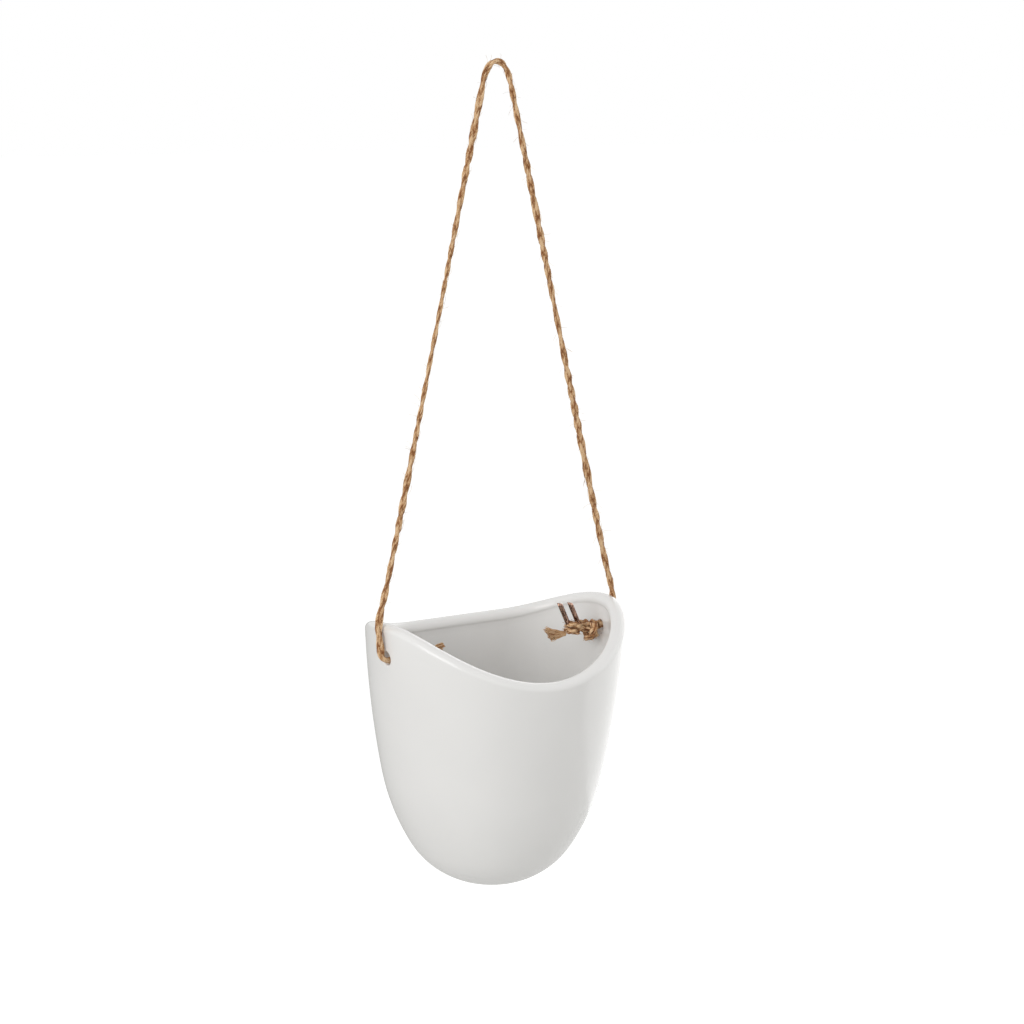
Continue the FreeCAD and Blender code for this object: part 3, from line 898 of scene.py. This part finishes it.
def overhand_knot(half_length, rounds=700, count=110, gap=0.9):
    """Middle line of an overhand knot in a cord one unit thick, drawn tight along X.

    It starts as a loose knot written as three polynomials. Each round pulls the line
    straighter, then pushes apart turns that are nearer to each other than the gap.
    """
    draw = 0.1
    straighten = 0.35
    t = np.linspace(-2.25, 2.25, count)
    line = np.stack([(t ** 5 - 10 * t) / 9, t ** 3 - 3 * t, (t ** 4 - 4 * t ** 2) * 0.8 + 1], axis=1) * 1.1
    line = evenly(line, count)
    side = math.copysign(1.0, line[-1, 0])
    order = np.arange(count)
    steps_apart = np.abs(order[:, None] - order[None])
    ends = [np.array([-side * half_length, 0, 0]), np.array([side * half_length, 0, 0])]
    for turn in range(rounds):
        for end, beside, goal in ((0, 1, ends[0]), (-1, -2, ends[1])):
            line[end] += (goal - line[end]) * draw
            step = np.linalg.norm(line[beside] - line[end])
            inward = np.array([-np.sign(goal[0]), 0, 0])
            line[beside] += (line[end] + inward * step - line[beside]) * 0.5
        line[1:-1] += straighten * ((line[:-2] + line[2:]) / 2 - line[1:-1])
        for _ in range(3):
            apart = line[:, None] - line[None]
            distance = np.linalg.norm(apart, axis=2) + 1e-9
            step = np.linalg.norm(np.diff(line, axis=0), axis=1).mean()
            free = steps_apart > math.ceil(math.pi / 2 * gap / step)
            push = np.where(free & (distance < gap), (gap - distance) / distance, 0.0)
            touching = np.maximum((push > 0).sum(axis=1), 1)
            line = line + (apart * push[:, :, None] * 0.5).sum(axis=1) / touching[:, None]
        if turn % 10 == 0:
            line = evenly(line, count)
    return line * side


def bound_turns(count=90):
    """Middle line of a turn and a half round the pin, in a cord one unit thick.

    It comes from the knot on the right, passes in front of both legs, goes round behind
    them and passes in front again, below, to the frayed end on the left.
    """
    right_reach = 0.9
    left_reach = 1.08
    deep_reach = 0.75
    points = [Vector((1.8, 0.0, 0.35))]
    for k in range(count + 1):
        turn = 1.5 * k / count
        angle = 2 * math.pi * turn
        lower = min(max(2 * turn - 1, 0.0), 1.0)
        rise = 0.56 - 1.05 * lower - 0.12 * math.cos(angle)
        reach = right_reach if math.cos(angle) > 0 else left_reach
        points.append(Vector((reach * math.cos(angle), -deep_reach * math.sin(angle), rise)))
    return points + [Vector((-1.5, 0.0, -0.45))]


# ---- operators ----

def settings():
    return bpy.context.scene.planter


class PLANTER_OT_camera(bpy.types.Operator):
    """Camera in front of the planter, to its left and a little above it"""
    bl_idname = "planter.camera"
    bl_label = "Camera"

    def execute(self, context):
        studio = settings().studio
        azimuth = math.radians(-29.41)
        elevation = math.radians(12.88)
        roll = math.radians(1.07)
        target = Vector((0.0, -8.5 * MM, -177.2 * MM))
        back = Vector((math.sin(azimuth) * math.cos(elevation), -math.cos(azimuth) * math.cos(elevation),
                       math.sin(elevation)))
        level = Vector((math.cos(azimuth), math.sin(azimuth), 0.0))
        upright = level.cross(-back)
        right = level * math.cos(roll) + upright * math.sin(roll)
        up = upright * math.cos(roll) - level * math.sin(roll)
        data = bpy.data.cameras.new("camera")
        data.lens = studio.lens
        data.sensor_width = 36.0
        data.shift_x = 0.0130
        data.shift_y = -0.0275
        data.clip_start = 0.05
        data.clip_end = 50.0
        camera = bpy.data.objects.new("camera", data)
        turned = Matrix((right, up, back)).transposed().to_4x4()
        camera.matrix_world = Matrix.Translation(target + back * studio.distance) @ turned
        context.scene.collection.objects.link(camera)
        context.scene.camera = camera
        return {"FINISHED"}


class PLANTER_OT_twine(bpy.types.Operator):
    """Loop of laid jute twine from the left knot over the hook to the right knot, with its loose hairs"""
    bl_idname = "planter.twine"
    bl_label = "Twine loop"

    def execute(self, context):
        twine = settings().twine
        jute = jute_fibre(twine)
        points = route_points()
        steps = np.linalg.norm(np.diff(np.array(points), axis=0), axis=1)
        along = np.concatenate([[0.0], np.cumsum(steps)]) / steps.sum()
        widths = np.interp(along, *zip(*TWINE_WIDTHS))
        swell = widths * MM / twine.diameter
        laid = bake("twine_laid", laid_twine_tree(), line_mesh("twine_path", points, swell),
                    diameter=twine.diameter, lay=twine.lay, strand_lay=twine.strand_lay,
                    strands=twine.strands, Material=jute)
        hand_over(laid, "jute", "twine_loop")
        clear, thick = zip(*[(p, w) for p, w in zip(points, swell) if p.z > EAR_Z])
        fuzz = bake("twine_fuzz", loose_hair_tree(), line_mesh("fuzz_path", clear, thick),
                    hairs=twine.hairs, Material=jute)
        hand_over(fuzz, "jute")
        return {"FINISHED"}


class PLANTER_OT_knots(bpy.types.Operator):
    """Overhand knot inside each hole, and the smaller one that binds the split pin"""
    bl_idname = "planter.knots"
    bl_label = "Knots"

    def execute(self, context):
        twine = settings().twine
        jute = bpy.data.materials["spun_jute"]
        tree = bpy.data.node_groups["laid_twine"]
        hair = bpy.data.node_groups["loose_hair"]
        knot = [Vector(p) for p in overhand_knot(half_length=1.95)]
        knot_x = KNOT_HIGH.x - 4.6 * MM
        knot_z = HOLE_Z - 0.6 * MM
        # The piece, its node, its middle line, the cord's thickness, which way along X it
        # points into the pot, its roll about X in degrees, and its place.
        places = [
            ("left_knot_turns", "left_knot", knot, 3.2 * MM, 1, 70.0, (-knot_x, HOLE_Y, knot_z)),
            ("right_knot_turns", "right_knot", knot, 3.5 * MM, -1, 15.0, (knot_x, HOLE_Y, knot_z)),
            ("pin_binding_turns", "pin_binding", bound_turns(), 2.85 * MM, 1, 0.0,
             (BINDING_X + 2.3 * MM, HOLE_Y, BINDING_Z + 0.5 * MM)),
        ]
        for name, node, line, strand, inward, roll, centre in places:
            turn = Matrix.Rotation(math.radians(roll), 3, "X")
            if inward < 0:
                turn = Matrix.Rotation(math.pi, 3, "Z") @ turn
            line = [turn @ (p * strand) for p in line]
            bulk = sum(line, Vector()) / len(line)
            shift = Vector(centre) - Vector((0.0, bulk.y, bulk.z))
            points = [p + shift for p in line]
            swell = [1.2 * strand / twine.diameter] * len(points)
            piece = bake(name, tree, line_mesh(name, points, swell), diameter=twine.diameter,
                         lay=7.5 * MM, strand_lay=9.0 * MM, strands=max(3, twine.strands - 3),
                         step=0.45 * MM, looseness=0.8, seed=7, Material=jute)
            hand_over(piece, "jute", node)
            fuzz = bake(name.replace("turns", "fuzz"), hair, line_mesh(name, points, swell),
                        hairs=twine.hairs // 2, diameter=twine.diameter, reach=2.2 * MM,
                        thickness=0.14 * MM, stray=0.5, seed=9, Material=jute)
            hand_over(fuzz, "jute")
        return {"FINISHED"}


class PLANTER_OT_frayed_ends(bpy.types.Operator):
    """The twine's two cut ends, combed out into flat brushes of fibre"""
    bl_idname = "planter.frayed_ends"
    bl_label = "Frayed ends"

    def execute(self, context):
        twine = settings().twine
        tree = frayed_end_tree()
        jute = bpy.data.materials["spun_jute"]
        middle_z = (TAIL_LOW.z + TAIL_HIGH.z) / 2 - 0.8 * MM
        rise = math.radians(-5.0)
        left_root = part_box("left_tail")[0].x
        places = [("left_frayed_end", "left_tail", left_root - 0.3 * MM, 1, 11),
                  ("right_frayed_end", "right_tail", TAIL_HIGH.x + 2.2 * MM, -1, 5)]
        for name, node, root_x, inward, seed in places:
            piece = bake(name, tree, bpy.data.meshes.new(name), fibres=twine.fibres, seed=seed,
                         Material=jute)
            turn = Matrix.Rotation(rise, 4, "Y")
            if inward < 0:
                turn = Matrix.Rotation(math.pi, 4, "Z") @ turn
            piece.data.transform(Matrix.Translation((root_x, HOLE_Y, middle_z)) @ turn)
            hand_over(piece, "jute", node)
        return {"FINISHED"}


class PLANTER_OT_split_pin(bpy.types.Operator):
    """U of polished wire that the second knot binds, its legs cut off at a slant"""
    bl_idname = "planter.split_pin"
    bl_label = "Split pin"

    def execute(self, context):
        pin = settings().pin
        spread = (pin.width - pin.wire) / 2
        middle = Vector((BINDING_X + 2.7 * MM, HOLE_Y, BINDING_Z + 0.4 * MM))
        half_turn = 16
        bend = [Vector((-spread * math.cos(math.pi * k / half_turn), 0,
                        -spread * math.sin(math.pi * k / half_turn))) for k in range(half_turn + 1)]
        leg_steps = 6
        legs = [[Vector((s * spread, 0, leg * k / leg_steps)) for k in range(1, leg_steps + 1)]
                for s, leg in ((-1, pin.inner_leg), (1, pin.outer_leg))]
        path = legs[0][::-1] + bend + legs[1]
        around = 20
        slant = math.tan(math.radians(38.0))
        bm = bmesh.new()
        rings = []
        for k, point in enumerate(path):
            ahead = (path[min(k + 1, len(path) - 1)] - path[max(k - 1, 0)]).normalized()
            side = Vector((0, 1, 0))
            across = ahead.cross(side)
            ring = []
            for j in range(around):
                turn = 2 * math.pi * j / around
                offset = (across * math.cos(turn) + side * math.sin(turn)) * pin.wire / 2
                spot = point + offset
                if k in (0, len(path) - 1):
                    spot.z -= (offset.x + pin.wire / 2) * slant
                ring.append(bm.verts.new(spot))
            rings.append(ring)
        for ring, following in zip(rings, rings[1:]):
            for j in range(around):
                after = (j + 1) % around
                bm.faces.new((ring[j], ring[after], following[after], following[j]))
        caps = [bm.faces.new(rings[0]), bm.faces.new(rings[-1])]
        bmesh.ops.recalc_face_normals(bm, faces=bm.faces)
        for face in bm.faces:
            face.smooth = True
        bmesh.ops.bevel(bm, geom=[e for f in caps for e in f.edges], offset=0.12 * MM, segments=2,
                        affect="EDGES")
        turn = Matrix.Rotation(-pin.lean, 4, "Y")
        bm.transform(Matrix.Translation(middle) @ turn)
        mesh = bpy.data.meshes.new("split_pin_wire")
        bm.to_mesh(mesh)
        bm.free()
        hand_over(shown("split_pin_wire", mesh, drawn_steel(pin)), "pin_steel", "split_pin")
        return {"FINISHED"}


class PLANTER_OT_pot(bpy.types.Operator):
    """The glazed pot, with its saddle-shaped rim, flat back and two holes"""
    bl_idname = "planter.pot"
    bl_label = "Pot"

    def execute(self, context):
        pot = settings().pot
        hand_over(shown("pot_casting", pot_mesh(pot), glazed_ceramic(pot)), "glazed_pot", "pot")
        return {"FINISHED"}


class PLANTER_OT_stage(bpy.types.Operator):
    """Pale floor, white surroundings and two soft lamps"""
    bl_idname = "planter.stage"
    bl_label = "Stage"

    def execute(self, context):
        studio = settings().studio
        scene = context.scene
        scene.view_settings.view_transform = "Standard"
        half = 15.0
        mesh = bpy.data.meshes.new("floor")
        mesh.from_pydata([(-half, -half, 0), (half, -half, 0), (half, half, 0), (-half, half, 0)], [],
                         [(0, 1, 2, 3)])
        mesh.transform(Matrix.Translation((0, 0, -studio.floor_depth)))
        shown("floor", mesh, painted_floor(studio))

        world = bpy.data.worlds.new("white_room")
        world.use_nodes = True
        world.node_tree.nodes.clear()
        add = partial(add_node, world.node_tree)
        seen = seen_by(add, "Is Camera Ray", "Is Glossy Ray", "Is Transmission Ray")
        # The room lights the object less from above than from its sides, as tall panels do.
        from_above = 0.79 * studio.ambient
        upward = add("ShaderNodeSeparateXYZ", (add("ShaderNodeTexCoord")["Generated"],))["Z"]
        dimmed = add("ShaderNodeMapRange", {0: upward, 1: 0.2, 2: 0.9, 3: studio.ambient,
                                                  4: from_above})[0]
        strength = add("ShaderNodeMix", {0: seen, 2: dimmed, 3: 1.0}, data_type="FLOAT")[0]
        light = add("ShaderNodeBackground", {"Color": (1, 1, 1, 1), "Strength": strength})[0]
        add("ShaderNodeOutputWorld", {"Surface": light})
        scene.world = world

        # The right lamp is wide and dim, so that its image in the glaze doesn't burn out.
        aim = Vector((0, 0, -260 * MM))
        lamps = [("key_lamp", (-1.3, -0.7, 0.33), 1.0, studio.key),
                 ("fill_lamp", (1.35, 0.28, -0.1), 2.4, studio.fill)]
        for name, place, size, power in lamps:
            data = bpy.data.lights.new(name, "AREA")
            data.size = size
            data.energy = power
            lamp = bpy.data.objects.new(name, data)
            towards = (aim - Vector(place)).to_track_quat("-Z", "Y").to_matrix().to_4x4()
            lamp.matrix_world = Matrix.Translation(place) @ towards
            scene.collection.objects.link(lamp)
        return {"FINISHED"}


class PlanterSettings(bpy.types.PropertyGroup):
    pot: PointerProperty(type=PotSettings)
    twine: PointerProperty(type=TwineSettings)
    pin: PointerProperty(type=PinSettings)
    studio: PointerProperty(type=StudioSettings)


class PLANTER_PT_panel(bpy.types.Panel):
    """Sizes, colours and steps of the planter"""
    bl_idname = "PLANTER_PT_panel"
    bl_label = "Wall planter"
    bl_space_type = "VIEW_3D"
    bl_region_type = "UI"
    bl_category = "Planter"

    def draw(self, context):
        planter = context.scene.planter
        for label, group in (("Pot", planter.pot), ("Twine", planter.twine), ("Split pin", planter.pin),
                             ("Studio", planter.studio)):
            box = self.layout.box()
            box.label(text=label)
            for name in group.bl_rna.properties.keys():
                if name not in ("rna_type", "name"):
                    box.prop(group, name)
        for step in STEPS:
            self.layout.operator(step.bl_idname)


# The camera and the twine come first, then what hangs on them, and the stage last.
STEPS = (PLANTER_OT_camera, PLANTER_OT_twine, PLANTER_OT_knots, PLANTER_OT_frayed_ends,
         PLANTER_OT_split_pin, PLANTER_OT_pot, PLANTER_OT_stage)
CLASSES = (PotSettings, TwineSettings, PinSettings, StudioSettings, PlanterSettings,
           *STEPS, PLANTER_PT_panel)


def register():
    for cls in CLASSES:
        bpy.utils.register_class(cls)
    bpy.types.Scene.planter = PointerProperty(type=PlanterSettings)


def unregister():
    del bpy.types.Scene.planter
    for cls in reversed(CLASSES):
        bpy.utils.unregister_class(cls)


def main():
    register()
    bpy.ops.planter.camera()
    bpy.ops.planter.twine()
    bpy.ops.planter.knots()
    bpy.ops.planter.frayed_ends()
    bpy.ops.planter.split_pin()
    bpy.ops.planter.pot()
    bpy.ops.planter.stage()
    points = route_points()


if __name__ == "__main__":
    main()
